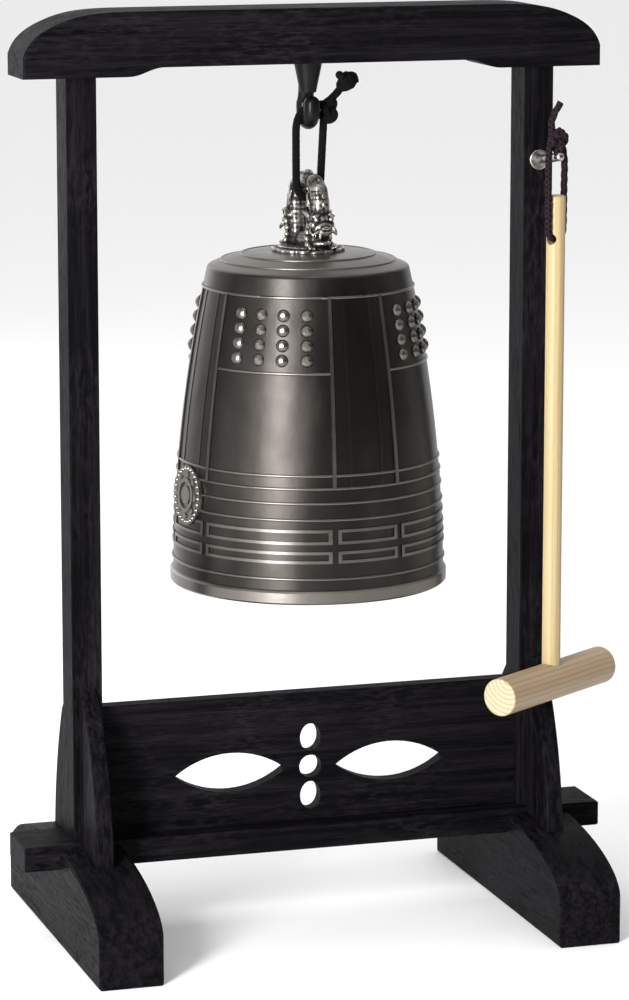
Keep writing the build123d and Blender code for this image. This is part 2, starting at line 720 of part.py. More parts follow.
def build_crown():
    """The cast crown: a flange, a round-edged bar between two animal heads, and a hidden stud."""
    half = crown_length / 2
    eye_half = crown_eye_length / 2
    bar_low = crown_height - crown_bar_height
    eye_low = bar_low - crown_eye_height
    flank = crown_frame(-crown_head_width / 2)
    with BuildPart() as crown:
        bar_plane = Plane((0, 0, dome_top + bar_low + crown_bar_height / 2),
                          x_dir=crown_frame().z_dir, z_dir=crown_frame().x_dir)
        with BuildSketch(bar_plane):
            RectangleRounded(crown_bar_width, crown_bar_height, crown_bar_width / 2 - 0.01)
        extrude(amount=eye_half + 3, both=True)
        for end in (-1, 1):
            with BuildSketch(flank):
                with BuildLine():
                    Polyline((end * eye_half, 0), (end * eye_half, crown_head_height + 6),
                             (end * (half - 5), crown_head_height + 4), (end * half, crown_head_height - 6),
                             (end * (half + 2), crown_head_height - 16), (end * (half - 2), eye_low - 2),
                             (end * half, 0), (end * eye_half, 0))
                make_face()
            extrude(amount=crown_head_width)
        with BuildSketch(flank):
            with Locations((0, eye_low / 2)):
                Rectangle(crown_eye_length + 2, eye_low)
        extrude(amount=crown_head_width)
        with Locations((0, 0, dome_top)):
            Cylinder(crown_flange_diameter / 2, crown_flange_thickness,
                     align=(Align.CENTER, Align.CENTER, Align.MIN))
            Cylinder(crown_stud_diameter / 2, crown_stud_length,
                     align=(Align.CENTER, Align.CENTER, Align.MAX))
    save(crown, "dragon_crown")


def build_crown_fixings():
    """The washer and the nut that hold the crown's stud, inside the top of the bell."""
    washer_top = dome_top - top_wall
    with BuildPart() as washer:
        with BuildSketch(Plane.XY.offset(washer_top - washer_thickness)):
            Circle(washer_diameter / 2)
            Circle(crown_stud_diameter / 2 + metal_gap, mode=Mode.SUBTRACT)
        extrude(amount=washer_thickness)
    save(washer, "crown_washer")
    with BuildPart() as nut:
        with BuildSketch(Plane.XY.offset(washer_top - washer_thickness - nut_thickness)):
            RegularPolygon(nut_across_flats / 2, 6, major_radius=False)
            Circle(crown_stud_diameter / 2, mode=Mode.SUBTRACT)
        extrude(amount=nut_thickness)
    save(nut, "crown_nut")


# ================================================================ cords
def build_cord(points, radii, diameter, label):
    """A cord along straight runs joined by arcs; prints the radii of its turns and its length."""
    with BuildLine() as route:
        FilletPolyline(*points, radius=radii)
    path = route.wires()[0]
    with BuildPart() as cord:
        with BuildSketch(Plane(path @ 0, z_dir=path % 0)):
            Circle(diameter / 2)
        sweep(path=path)
    drawn = pi * diameter ** 2 / 4 * path.length
    print(label, "radii", radii, "length", round(path.length, 1), "volume ratio",
          round(cord.part.volume / drawn, 4))
    save(cord, label)


def build_bell_cord():
    """The bell's cord: down from the knot, round the crown's bar, up, over the hook, out to the tail."""
    turn = radians(bell_turn)
    side_reach = (crown_turn_radius * cos(turn), crown_turn_radius * sin(turn))
    over_hook = hook_z + hook_turn_radius
    points = [
        (hook_turn_radius + 2.0, -0.3, hook_z + 2.4),
        (side_reach[0], side_reach[1], crown_cord_z),
        (-side_reach[0], -side_reach[1], crown_cord_z),
        (-hook_turn_radius, 0, over_hook),
        (knot_centre[0], 0, over_hook),
        end_knot_centre,
    ]
    crown_turn = crown_turn_radius - 0.05
    build_cord(points, [crown_turn, crown_turn, hook_turn_radius, bell_cord_diameter],
               bell_cord_diameter, "bell_cord")


def build_bell_cord_knots():
    """The knot that closes the loop beside the hook, and the knot that ends its tail."""
    with BuildPart() as knot:
        with Locations(knot_centre):
            Box(knot_width, knot_depth, knot_height)
        fillet(knot.edges(), radius=knot_width / 2 - 1)
    save(knot, "bell_cord_knot")
    with BuildPart() as end_knot:
        with BuildSketch(Plane(end_knot_centre, z_dir=(1, 0, 0.25)).offset(-end_knot_length / 2)):
            Circle(end_knot_diameter / 2)
        extrude(amount=end_knot_length)
        fillet(end_knot.edges().filter_by(GeomType.CIRCLE), radius=end_knot_diameter / 2 - 1)
    save(end_knot, "bell_cord_end_knot")


def build_mallet_cord():
    """The mallet's cord: tail, knot, down one side, through the handle's bore, and up to the knot."""
    reach = handle_diameter / 2 + cord_gap + mallet_cord_radius
    across = (reach * head_direction[0], reach * head_direction[1])
    above = (1.03 * across[0], 1.03 * across[1])
    straddle = peg_diameter / 2 + cord_gap + mallet_cord_radius + 0.1
    points = [
        (mallet_x + 1.0, mallet_y - 3.1, peg_height + 30.5),
        (mallet_x - 5.0, mallet_y - 3.1, peg_height + 22.0),
        (mallet_x - 2.4, mallet_y, peg_height + 12.0),
        (mallet_x - straddle, mallet_y, peg_height + 2.2),
        (mallet_x - above[0], mallet_y - above[1], handle_top + 5.0),
        (mallet_x - across[0], mallet_y - across[1], handle_bore_height),
        (mallet_x + across[0], mallet_y + across[1], handle_bore_height),
        (mallet_x + above[0], mallet_y + above[1], handle_top + 5.0),
        (mallet_x + straddle, mallet_y, peg_height + 2.2),
        (mallet_x + 2.3, mallet_y, peg_height + 9.0),
    ]
    tight = mallet_cord_radius + 0.1
    radii = [5.0, 5.0, 5.0, 8.0, tight, tight, 8.0, 4.0]
    build_cord(points, radii, mallet_cord_diameter, "mallet_cord")


def build_mallet_cord_knot():
    """The knot that closes the mallet's cord, just above the peg."""
    with BuildPart() as knot:
        with Locations((mallet_x + 0.5, mallet_y, peg_height + mallet_knot_rise + mallet_knot_height / 2)):
            Box(mallet_knot_width, mallet_knot_depth, mallet_knot_height)
        fillet(knot.edges(), radius=mallet_knot_width / 2 - 1.5)
    save(knot, "mallet_cord_knot")


# ================================================================ mallet
def cross_plane(height):
    """The plane through the handle, at this height, that is square to the mallet's head."""
    return Plane((mallet_x, mallet_y, height), x_dir=(0, 0, 1), z_dir=(head_direction[0], head_direction[1], 0))


def build_mallet_handle():
    """The long round handle, glued into the head, with a cross bore near its top for the cord."""
    bottom = head_height + head_diameter / 2 - handle_socket
    with BuildPart() as handle:
        with Locations((mallet_x, mallet_y, bottom)):
            Cylinder(handle_diameter / 2, handle_top - bottom, align=(Align.CENTER, Align.CENTER, Align.MIN))
        fillet(handle.faces().sort_by(Axis.Z)[-1].edges(), radius=handle_ease)
        with BuildSketch(cross_plane(handle_bore_height)):
            Circle(handle_bore_diameter / 2)
        extrude(amount=handle_diameter, both=True, mode=Mode.SUBTRACT)
        bore_rims = handle.edges().filter_by(
            lambda edge: abs(edge.center().Z - handle_bore_height) < handle_bore_diameter / 2)
        chamfer(bore_rims.filter_by(GeomType.LINE, reverse=True), length=handle_bore_ease)
    save(handle, "mallet_handle")


def build_mallet_head():
    """The round head, socketed on top for the handle."""
    with BuildPart() as head:
        with BuildSketch(cross_plane(head_height)):
            Circle(head_diameter / 2)
        extrude(amount=head_length / 2, both=True)
        fillet(head.edges().filter_by(GeomType.CIRCLE), radius=head_ease)
        with Locations((mallet_x, mallet_y, head_height + head_diameter / 2 - handle_socket - wood_gap)):
            Cylinder(handle_diameter / 2 + wood_gap, head_diameter,
                     align=(Align.CENTER, Align.CENTER, Align.MIN), mode=Mode.SUBTRACT)
    save(head, "mallet_head")


if __name__ == "__main__":
    build_foot(-1, "left_foot")
    build_foot(1, "right_foot")
    build_rail()
    build_post(-1, "left_post")
    build_post(1, "right_post")
    build_beam()
    build_panel()
    build_brace(-1, -1, "brace_front_left")
    build_brace(-1, 1, "brace_rear_left")
    build_brace(1, -1, "brace_front_right")
    build_brace(1, 1, "brace_rear_right")
    build_brace_dowels()
    build_foot_screws()
    build_bell_hook()
    build_bell()
    build_crown()
    build_crown_fixings()
    build_bell_cord()
    build_bell_cord_knots()
    build_mallet_peg()
    build_mallet_cord()
    build_mallet_cord_knot()
    build_mallet_handle()
    build_mallet_head()
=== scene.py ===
import bpy
import bmesh
from math import cos, pi, radians, sin, sqrt
from mathutils import Matrix, Vector


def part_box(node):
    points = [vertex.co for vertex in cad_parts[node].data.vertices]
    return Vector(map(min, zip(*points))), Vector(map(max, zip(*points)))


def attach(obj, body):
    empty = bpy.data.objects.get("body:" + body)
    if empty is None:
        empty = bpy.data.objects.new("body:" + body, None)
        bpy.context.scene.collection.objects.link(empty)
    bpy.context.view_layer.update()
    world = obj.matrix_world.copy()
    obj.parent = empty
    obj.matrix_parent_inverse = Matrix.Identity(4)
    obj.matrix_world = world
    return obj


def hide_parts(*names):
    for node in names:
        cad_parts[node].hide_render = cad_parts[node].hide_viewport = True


# Looks for a small temple bell on a black wooden stand. Metres, +Z up, the front faces -Y.
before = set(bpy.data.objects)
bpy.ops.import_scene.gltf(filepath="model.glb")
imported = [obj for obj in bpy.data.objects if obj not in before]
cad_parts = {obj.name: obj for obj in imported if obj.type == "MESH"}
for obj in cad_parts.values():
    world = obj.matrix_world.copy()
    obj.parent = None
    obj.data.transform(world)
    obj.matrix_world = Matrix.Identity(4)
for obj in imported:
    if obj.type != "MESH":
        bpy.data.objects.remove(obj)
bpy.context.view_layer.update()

MM = 0.001
STAND_X = -4.8 * MM         # middle of the stand from the origin
BELL_TURN = radians(9.0)
HEAD_TURN = radians(35.8)


def place(x, y, z):
    """A point measured in millimetres from the middle of the stand, as a place in the frame."""
    return Vector((x * MM + STAND_X, y * MM, z * MM))


def turned(x, y, z):
    """The rotation that turns about X, then Y, then Z, by these angles in radians."""
    return Matrix.Rotation(z, 3, "Z") @ Matrix.Rotation(y, 3, "Y") @ Matrix.Rotation(x, 3, "X")


# ---------------------------------------------------------------- camera
camera_data = bpy.data.cameras.new("studio_camera")
camera_data.sensor_width = 36.0
camera_data.lens = 145.45
camera_data.clip_end = 60.0
camera = bpy.data.objects.new("studio_camera", camera_data)
bpy.context.scene.collection.objects.link(camera)
camera.location = place(-662.5, -2127.7, 662.8)
camera_target = place(3.74, 0.0, 241.19)
camera.rotation_euler = (camera_target - camera.location).to_track_quat("-Z", "Y").to_euler()
bpy.context.scene.camera = camera
bpy.context.scene.view_settings.view_transform = "Standard"


# ---------------------------------------------------------------- finishes
class Wire:
    """A socket of one finish. Arithmetic on it adds Math nodes."""

    def __init__(self, finish, socket):
        self.finish = finish
        self.socket = socket

    def maths(self, operation, first, second=0.0):
        return self.finish.node("ShaderNodeMath", {"operation": operation}, {0: first, 1: second})

    def __add__(self, other):
        return self.maths("ADD", self, other)

    def __sub__(self, other):
        return self.maths("SUBTRACT", self, other)

    def __mul__(self, other):
        return self.maths("MULTIPLY", self, other)

    def __rsub__(self, other):
        return self.maths("SUBTRACT", other, self)

    __radd__ = __add__
    __rmul__ = __mul__

    def sine(self):
        return self.maths("SINE", self)

    def size(self):
        return self.maths("ABSOLUTE", self)

    def root(self):
        return self.maths("SQRT", self)

    def higher(self, other):
        return self.maths("MAXIMUM", self, other)

    def ramp(self, low, high):
        """0 below low, 1 above high, smooth between; low above high turns it round."""
        return self.finish.node("ShaderNodeMapRange", {"interpolation_type": "SMOOTHSTEP"},
                                {"Value": self, "From Min": low, "From Max": high})


class Finish:
    """One material, made of a single principled surface."""

    def __init__(self, name, **uniform):
        self.material = bpy.data.materials.new(name)
        self.material.use_nodes = True
        self.tree = self.material.node_tree
        self.tree.nodes.clear()
        output = self.tree.nodes.new("ShaderNodeOutputMaterial")
        self.surface = self.tree.nodes.new("ShaderNodeBsdfPrincipled")
        self.tree.links.new(self.surface.outputs[0], output.inputs["Surface"])
        for socket, value in uniform.items():
            self.surface.inputs[socket.replace("_", " ")].default_value = value

    def node(self, kind, settings, inputs, output=0):
        """Adds a node: its settings first, then the value or link of each socket."""
        node = self.tree.nodes.new(kind)
        for name, value in settings.items():
            setattr(node, name, value)
        for name, value in inputs.items():
            self.feed(node.inputs[name], value)
        return Wire(self, node.outputs[output])

    def feed(self, socket, value):
        if isinstance(value, Wire):
            self.tree.links.new(value.socket, socket)
        else:
            socket.default_value = value

    def place(self, scale=(1, 1, 1), turn=(0, 0, 0), move=(0, 0, 0)):
        """Object coordinates, moved, turned and stretched by a Mapping node."""
        where = self.node("ShaderNodeTexCoord", {}, {}, output=3)
        return self.node("ShaderNodeMapping", {"vector_type": "POINT"},
                         {"Vector": where, "Location": move, "Rotation": turn, "Scale": scale})

    def wound(self):
        """The piece's own UV map: round the cord, and along it."""
        return self.node("ShaderNodeUVMap", {"uv_map": "wound"}, {})

    def apart(self, vector):
        return [self.node("ShaderNodeSeparateXYZ", {}, {"Vector": vector}, output=axis)
                for axis in range(3)]

    def noise(self, vector, scale, detail=3.0, roughness=0.55, distortion=0.0):
        return self.node("ShaderNodeTexNoise", {"noise_dimensions": "3D"},
                         {"Vector": vector, "Scale": scale, "Detail": detail,
                          "Roughness": roughness, "Distortion": distortion})

    def blend(self, factor, first, second):
        """A colour between two colours."""
        def colour(value):
            return value if isinstance(value, Wire) else (*value, 1.0)
        return self.node("ShaderNodeMix", {"data_type": "RGBA"},
                         {0: factor, 6: colour(first), 7: colour(second)}, output=2)

    def bump(self, height, depth, strength=1.0, under=None):
        inputs = {"Height": height, "Distance": depth, "Strength": strength}
        if under is not None:
            inputs["Normal"] = under
        return self.node("ShaderNodeBump", {}, inputs)

    def wear(self, **links):
        """Feeds the surface's sockets that change over the piece."""
        for socket, value in links.items():
            self.feed(self.surface.inputs[socket.replace("_", " ")], value)
        return self.material


def along(axis, fine, long):
    """Scale of a pattern that is drawn out along one axis."""
    scale = [fine, fine, fine]
    scale["XYZ".index(axis)] = long
    return tuple(scale)


def black_wood(name, axis, shift):
    """Black stained open-grain wood: long pores, faint figure, and a thin satin lacquer."""
    wood = Finish(name, Specular_IOR_Level=0.015, Coat_Roughness=0.30, Coat_IOR=1.2)
    grain = wood.place(scale=along(axis, 1.0, 0.035), move=(shift, shift * 0.7, shift * 0.4))
    pores = wood.noise(grain, 1500.0, 2.0, 0.6).ramp(0.52, 0.66)
    figure = wood.noise(grain, 210.0, 4.0, 0.6, 0.4).ramp(0.35, 0.72)
    patches = wood.noise(wood.place(), 16.0, 2.0, 0.5).ramp(0.35, 0.7)
    fleck = wood.noise(wood.place(scale=along(axis, 1.0, 0.25)), 420.0, 3.0, 0.65).ramp(0.44, 0.62)
    base = wood.blend(figure, (0.0020, 0.0018, 0.0023), (0.0085, 0.0074, 0.0090))
    base = wood.blend(pores * 0.7, base, (0.0022, 0.0020, 0.0024))
    base = wood.blend(fleck * patches * 0.35, base, (0.024, 0.021, 0.026))
    roughness = 0.40 + 0.14 * figure + 0.22 * pores + 0.08 * fleck
    height = 1.0 - pores * 0.8 - fleck * 0.25 + figure * 0.2
    return wood.wear(Base_Color=base, Roughness=roughness, Coat_Weight=0.06 - 0.04 * fleck,
                     Normal=wood.bump(height, 0.00022, 0.85))


# The bell's outer side follows one arc through three places: radius and height above the mouth.
MOUTH_Z = 197.5
SIDE_PLACES = ((56.0, 177.0), (69.5, 100.0), (76.0, 8.0))


def side_arc():
    """Centre and radius of the arc that the bell's side follows."""
    (x1, y1), (x2, y2), (x3, y3) = SIDE_PLACES
    a = x1 * (y2 - y3) - y1 * (x2 - x3) + x2 * y3 - x3 * y2
    s1, s2, s3 = x1 ** 2 + y1 ** 2, x2 ** 2 + y2 ** 2, x3 ** 2 + y3 ** 2
    cx = (s1 * (y2 - y3) + s2 * (y3 - y1) + s3 * (y1 - y2)) / (2 * a)
    cy = (s1 * (x3 - x2) + s2 * (x1 - x3) + s3 * (x2 - x1)) / (2 * a)
    return cx, cy, sqrt((x1 - cx) ** 2 + (y1 - cy) ** 2)


def dark_bronze():
    """Dark patinated casting: rubbed on its ridges and bosses, darker beside them, with a painted
    highlight on its top plate.
    """
    cast = Finish("dark_bronze", Specular_IOR_Level=0.25)
    arc_x, arc_z, arc_radius = (value * MM for value in side_arc())
    x, y, z = cast.apart(cast.place(move=(-STAND_X, 0, -MOUTH_Z * MM)))
    radius = (x * x + y * y).root()
    rise = z - arc_z
    skin = (arc_radius ** 2 - rise * rise).root() + arc_x
    proud = radius - skin
    ridge = proud.ramp(0.25 * MM, 0.95 * MM)
    hollow = proud.ramp(0.5 * MM, 0.05 * MM) * proud.ramp(-1.5 * MM, -0.1 * MM)
    spots = cast.noise(cast.place(), 70.0, 4.0, 0.6)
    stains = cast.noise(cast.place(scale=(1, 1, 0.35)), 26.0, 3.0, 0.55, 0.6).ramp(0.35, 0.7)
    sand = cast.noise(cast.place(), 1500.0, 2.0, 0.6)
    rubbed = (ridge * (0.55 + 0.6 * spots)).ramp(0.15, 0.85)
    top_plate_highlight = z.ramp(0.1765, 0.1785)
    base = cast.blend(stains, (0.034, 0.031, 0.029), (0.066, 0.060, 0.055))
    base = cast.blend(hollow * (0.25 + 0.5 * spots), base, (0.020, 0.018, 0.016))
    # painted highlight: the top plate is made lighter, as the light from above falls on it
    base = cast.blend(top_plate_highlight * 0.8, base, (0.17, 0.157, 0.143))
    base = cast.blend(rubbed * 0.85, base, (0.17, 0.157, 0.142))
    roughness = 0.28 + 0.08 * stains - 0.04 * rubbed + 0.08 * spots
    swell = cast.noise(cast.place(), 34.0, 2.0, 0.5)
    soft = cast.bump(swell, 0.0011, 0.5)
    metal = cast.bump(sand * 0.6 + spots, 0.00012, 0.7, under=soft)
    return cast.wear(Base_Color=base, Metallic=0.93 + 0.05 * rubbed, Roughness=roughness,
                     Normal=metal)


def rubbed_bronze():
    """The crown's casting: bright on its crests where hands and cords have rubbed it, black in its
    hollows from grime and painted shade.
    """
    cast = Finish("rubbed_bronze", Specular_IOR_Level=0.5)
    depth = cast.node("ShaderNodeAttribute", {"attribute_name": "hollow"}, {}, output=2)
    spots = cast.noise(cast.place(), 240.0, 4.0, 0.65)
    # painted shade: the hollows go near black, partly grime and partly shade painted into the
    # colour
    grime_and_hollow_shade = (depth * 1.1 + (spots - 0.5) * 1.1).ramp(0.10, 0.48)
    base = cast.blend(grime_and_hollow_shade, (0.33, 0.31, 0.285), (0.012, 0.011, 0.010))
    sand = cast.noise(cast.place(), 1700.0, 2.0, 0.6)
    return cast.wear(Base_Color=base, Metallic=0.92 - 0.2 * grime_and_hollow_shade, Roughness=0.27 + 0.25 * grime_and_hollow_shade,
                     Normal=cast.bump(sand + spots, 0.00012, 0.8))


NO_PALE_ENDS = (9.0, (0.5, 0.35, 0.2))    # ends too far out to be reached


def turned_wood(name, pale, deep, end_pale, turn, move, tight):
    """Light close-grained wood, its rings about the piece's own axis, so ends show end grain."""
    wood = Finish(name, Specular_IOR_Level=0.42, Coat_Weight=0.12, Coat_Roughness=0.3)
    where = wood.place(turn=turn, move=move)
    x, y, z = wood.apart(where)
    wander = wood.noise(wood.place(scale=(1, 1, 1)), 55.0, 2.0, 0.5)
    off_x = x + 0.011
    off_y = y + 0.006
    rings = ((off_x * off_x + off_y * off_y).root() * tight + wander * 2.2).sine()
    late = rings.ramp(0.2, 0.98)
    stretched = wood.node("ShaderNodeMapping", {"vector_type": "POINT"},
                          {"Vector": where, "Scale": (1.0, 1.0, 0.03)})
    fibre = wood.noise(stretched, 1700.0, 3.0, 0.6)
    streak = wood.noise(stretched, 320.0, 3.0, 0.55).ramp(0.40, 0.70)
    ends = z.size().ramp(end_pale[0] - 0.0012, end_pale[0] - 0.0002)
    base = wood.blend(late * 0.55, pale, deep)
    base = wood.blend(streak * 0.35, base, deep)
    base = wood.blend(ends, base, wood.blend(late * 0.5, end_pale[1], deep))
    rough = 0.42 + 0.16 * fibre + 0.12 * ends
    return wood.wear(Base_Color=base, Roughness=rough,
                     Normal=wood.bump(fibre + late * 0.2, 0.00008, 0.8))


def cord_finish(name, dark, light, plaits, slope):
    """Braided or twisted yarn, drawn on the cord's own map."""
    yarn = Finish(name, Specular_IOR_Level=0.05, Sheen_Weight=0.02, Sheen_Roughness=0.5)
    yarn.surface.inputs["Sheen Tint"].default_value = (0.45, 0.38, 0.42, 1.0)
    u, v, _ = yarn.apart(yarn.wound())
    one = (u * plaits * 2 * pi + v * slope).sine()
    two = (u * plaits * 2 * pi - v * slope).sine()
    crossing = one.size().higher(two.size())
    fibres = (u * plaits * 14 * pi + v * slope * 6.0).sine()
    fuzz = yarn.noise(yarn.place(), 2200.0, 3.0, 0.7)
    lit = (crossing * 0.6 + fibres * 0.12 + fuzz * 0.5).ramp(0.45, 1.1)
    base = yarn.blend(lit, dark, light)
    return yarn.wear(Base_Color=base, Roughness=0.72 + 0.2 * fuzz,
                     Normal=yarn.bump(crossing * 0.7 + fibres * 0.2 + fuzz * 0.5, 0.0003, 0.9))


def metal_finish(name, colour, darker, rough, scale, brushed, **uniform):
    """Plain metal with faint scratches and a little grime."""
    metal = Finish(name, **uniform)
    grime = metal.noise(metal.place(), scale, 4.0, 0.6).ramp(0.35, 0.75)
    lines = metal.noise(metal.place(scale=brushed), 900.0, 2.0, 0.6)
    return metal.wear(Base_Color=metal.blend(grime, colour, darker),
                      Roughness=rough + 0.16 * grime + 0.06 * lines,
                      Normal=metal.bump(lines + grime, 0.00006, 0.6))


wood_grains = {
    "top_beam": "X", "lower_panel": "X", "base_rail": "X", "left_post": "Z", "right_post": "Z",
    "left_foot": "Y", "right_foot": "Y", "brace_front_left": "Z", "brace_rear_left": "Z",
    "brace_front_right": "Z", "brace_rear_right": "Z"}
finishes = {}
for turn, (node, axis) in enumerate(wood_grains.items()):
    finishes[node] = black_wood("black_wood_" + node, axis, 0.31 * turn)
finishes["bell_body"] = dark_bronze()
finishes["bell_hook"] = metal_finish(
    "black_iron", (0.0015, 0.0015, 0.0018), (0.004, 0.0036, 0.004), 0.34, 90.0, (1, 1, 0.2),
    Specular_IOR_Level=0.08, Coat_Weight=0.12, Coat_Roughness=0.18)
finishes["mallet_peg"] = metal_finish(
    "bright_steel", (0.42, 0.405, 0.38), (0.20, 0.19, 0.175), 0.20, 160.0, (1, 0.1, 1),
    Metallic=1.0)
steel = metal_finish("plain_steel", (0.55, 0.55, 0.56), (0.30, 0.29, 0.28), 0.32, 120.0,
                     (1, 1, 0.2), Metallic=1.0)
for node in ("crown_washer", "crown_nut", "foot_screws"):
    finishes[node] = steel
finishes["brace_dowels"] = turned_wood("beech_dowel", (0.50, 0.34, 0.19), (0.32, 0.20, 0.10),
                                       NO_PALE_ENDS, (radians(90), 0, 0), (0, 0, 0), 2600.0)
handle_low, handle_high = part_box("mallet_handle")
head_low, head_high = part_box("mallet_head")
handle_axis = (Vector(handle_low) + Vector(handle_high)) / 2
head_centre = (Vector(head_low) + Vector(head_high)) / 2
finishes["mallet_handle"] = turned_wood("cream_wood", (0.40, 0.305, 0.155), (0.31, 0.21, 0.092),
                                        NO_PALE_ENDS, (0, 0, 0),
                                        (-handle_axis.x, -handle_axis.y, -handle_axis.z), 2100.0)
to_head = Matrix.Rotation(radians(-90), 4, "Y") @ Matrix.Rotation(-HEAD_TURN, 4, "Z")
head_move = -(to_head @ head_centre)
finishes["mallet_head"] = turned_wood("tan_wood", (0.34, 0.245, 0.145), (0.21, 0.135, 0.072),
                                      (0.052, (0.43, 0.365, 0.24)), tuple(to_head.to_euler()),
                                      tuple(head_move), 2300.0)
bell_yarn = cord_finish("black_braid", (0.0010, 0.0009, 0.0010), (0.0075, 0.0065, 0.0072), 4.0, 1.9)
mallet_yarn = cord_finish("brown_twist", (0.003, 0.0018, 0.0027), (0.028, 0.017, 0.022), 1.5, 2.2)
crown_metal = rubbed_bronze()

for node, material in finishes.items():
    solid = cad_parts[node]
    solid.data.materials.clear()
    solid.data.materials.append(material)


# ---------------------------------------------------------------- cords
def route_line(name, points):
    """The smooth line that a cord follows: a NURBS spline through its given points."""
    curve = bpy.data.curves.new(name, "CURVE")
    curve.dimensions = "3D"
    curve.resolution_u = 24
    spline = curve.splines.new("NURBS")
    spline.points.add(len(points) - 1)
    for point, at in zip(spline.points, points):
        point.co = (*at, 1.0)
    spline.order_u = 3
    spline.use_endpoint_u = True
    guide = bpy.data.objects.new(name, curve)
    bpy.context.scene.collection.objects.link(guide)
    bpy.context.view_layer.update()
    mesh = bpy.data.meshes.new_from_object(guide)
    line = [vertex.co.copy() for vertex in mesh.vertices]
    bpy.data.objects.remove(guide)
    bpy.data.meshes.remove(mesh)
    return line


def even_line(line, step, closed=False):
    """The same line with its points an even step apart, and its length."""
    line = [Vector(point) for point in line]
    if closed:
        line.append(line[0].copy())
    reach = [0.0]
    for before, after in zip(line, line[1:]):
        reach.append(reach[-1] + (after - before).length)
    count = max(8, round(reach[-1] / step))
    points, index = [], 0
    for number in range(count if closed else count + 1):
        goal = reach[-1] * number / count
        while index < len(reach) - 2 and reach[index + 1] < goal:
            index += 1
        part = (goal - reach[index]) / max(1e-9, reach[index + 1] - reach[index])
        points.append(line[index].lerp(line[index + 1], min(1.0, part)))
    return points, reach[-1]


def frames_along(points, closed=False):
    """A tangent, a normal and a binormal at each point, carried along without twisting."""
    count = len(points)
    tangents = []
    for index in range(count):
        if closed:
            step = points[(index + 1) % count] - points[index - 1]
        else:
            step = points[min(index + 1, count - 1)] - points[max(index - 1, 0)]
        tangents.append(step.normalized())
    normal = tangents[0].orthogonal().normalized()
    frames = []
    for tangent in tangents:
        normal = (normal - tangent * normal.dot(tangent)).normalized()
        frames.append((tangent, normal, tangent.cross(normal)))
    return frames


def yarn_height(kind, plaits, angle, run, slope):
    """How proud the yarns stand here, from 0 in the grooves to 1 on the crests."""
    if kind == "braid":
        one, two = abs(sin(plaits * angle + slope * run)), abs(sin(plaits * angle - slope * run))
        return max(one, two)
    return abs(sin(plaits * angle + slope * run))


def link_mesh(name, mesh, material):
    for face in mesh.polygons:
        face.use_smooth = True
    mesh.materials.append(material)
    piece = bpy.data.objects.new(name, mesh)
    bpy.context.scene.collection.objects.link(piece)
    return piece


def yarn_tube(name, line, radius, material, kind="braid", plaits=4, slope=1.9, closed=False,
              step=0.00035, around=28, relief=0.16):
    """A cord as a closed tube whose surface carries its own yarns, with a map for its material."""
    points, length = even_line(line, step, closed)
    frames = frames_along(points, closed)
    run_step = length / len(points) / radius
    vertices, faces, wound = [], [], []
    for index, (point, (_, normal, across)) in enumerate(zip(points, frames)):
        for turn in range(around):
            angle = 2 * pi * turn / around
            high = yarn_height(kind, plaits, angle, index * run_step, slope)
            reach = radius * (1.0 - relief + relief * high)
            vertices.append(point + normal * (cos(angle) * reach) + across * (sin(angle) * reach))
    rings = len(points)
    spans = rings if closed else rings - 1
    for index in range(spans):
        for turn in range(around):
            after, beside = (index + 1) % rings, (turn + 1) % around
            faces.append((index * around + turn, index * around + beside,
                          after * around + beside, after * around + turn))
            u, v = turn / around, index * run_step
            wound += [(u, v), (u + 1 / around, v),
                      (u + 1 / around, v + run_step), (u, v + run_step)]
    if not closed:
        for end, order in ((0, range(around - 1, -1, -1)), (rings - 1, range(around))):
            faces.append(tuple(end * around + turn for turn in order))
            wound += [(0.5, 0.5)] * around
    mesh = bpy.data.meshes.new(name)
    mesh.from_pydata(vertices, [], faces)
    layer = mesh.uv_layers.new(name="wound")
    for loop, at in enumerate(wound):
        layer.data[loop].uv = at
    mesh.validate()
    shape = bmesh.new()
    shape.from_mesh(mesh)
    bmesh.ops.recalc_face_normals(shape, faces=shape.faces)
    shape.to_mesh(mesh)
    shape.free()
    return link_mesh(name, mesh, material), [tuple(point) for point in points], length


def join_pieces(name, pieces):
    """Several loose tubes of one finish as a single piece."""
    shape = bmesh.new()
    for piece in pieces:
        shape.from_mesh(piece.data)
    mesh = bpy.data.meshes.new(name)
    shape.to_mesh(mesh)
    shape.free()
    material = pieces[0].data.materials[0]
    for piece in pieces:
        bpy.data.objects.remove(piece)
    return link_mesh(name, mesh, material)


BELL_CORD_DIAMETER = 4.4 * MM
MALLET_CORD_DIAMETER = 4.0 * MM
MALLET_TWIST = {"kind": "twist", "plaits": 1.5, "slope": 1.1, "relief": 0.2}

# The bell's cord: from its knot down, round the crown's bar, up, over the hook and out.
CROWN_RUN_OUT = 7.25        # how far each run stands from the crown's middle
crown_side = (CROWN_RUN_OUT * cos(BELL_TURN), CROWN_RUN_OUT * sin(BELL_TURN))
bell_route = [place(*point) for point in (
    (9.0, -0.3, 456.5),
    (8.0, 0.5, 434.0),
    (crown_side[0], crown_side[1], 412.0),
    (-crown_side[0], -crown_side[1], 412.0),
    (-7.1, -0.5, 434.0),
    (-7.0, 0.0, 461.3),
    (11.5, 0.0, 461.3),
    (21.0, -3.0, 476.0))]
bell_line = route_line("bell_cord_route", bell_route)
bell_cord, bell_path, bell_length = yarn_tube(
    "bell_cord_braid", bell_line, BELL_CORD_DIAMETER / 2, bell_yarn)

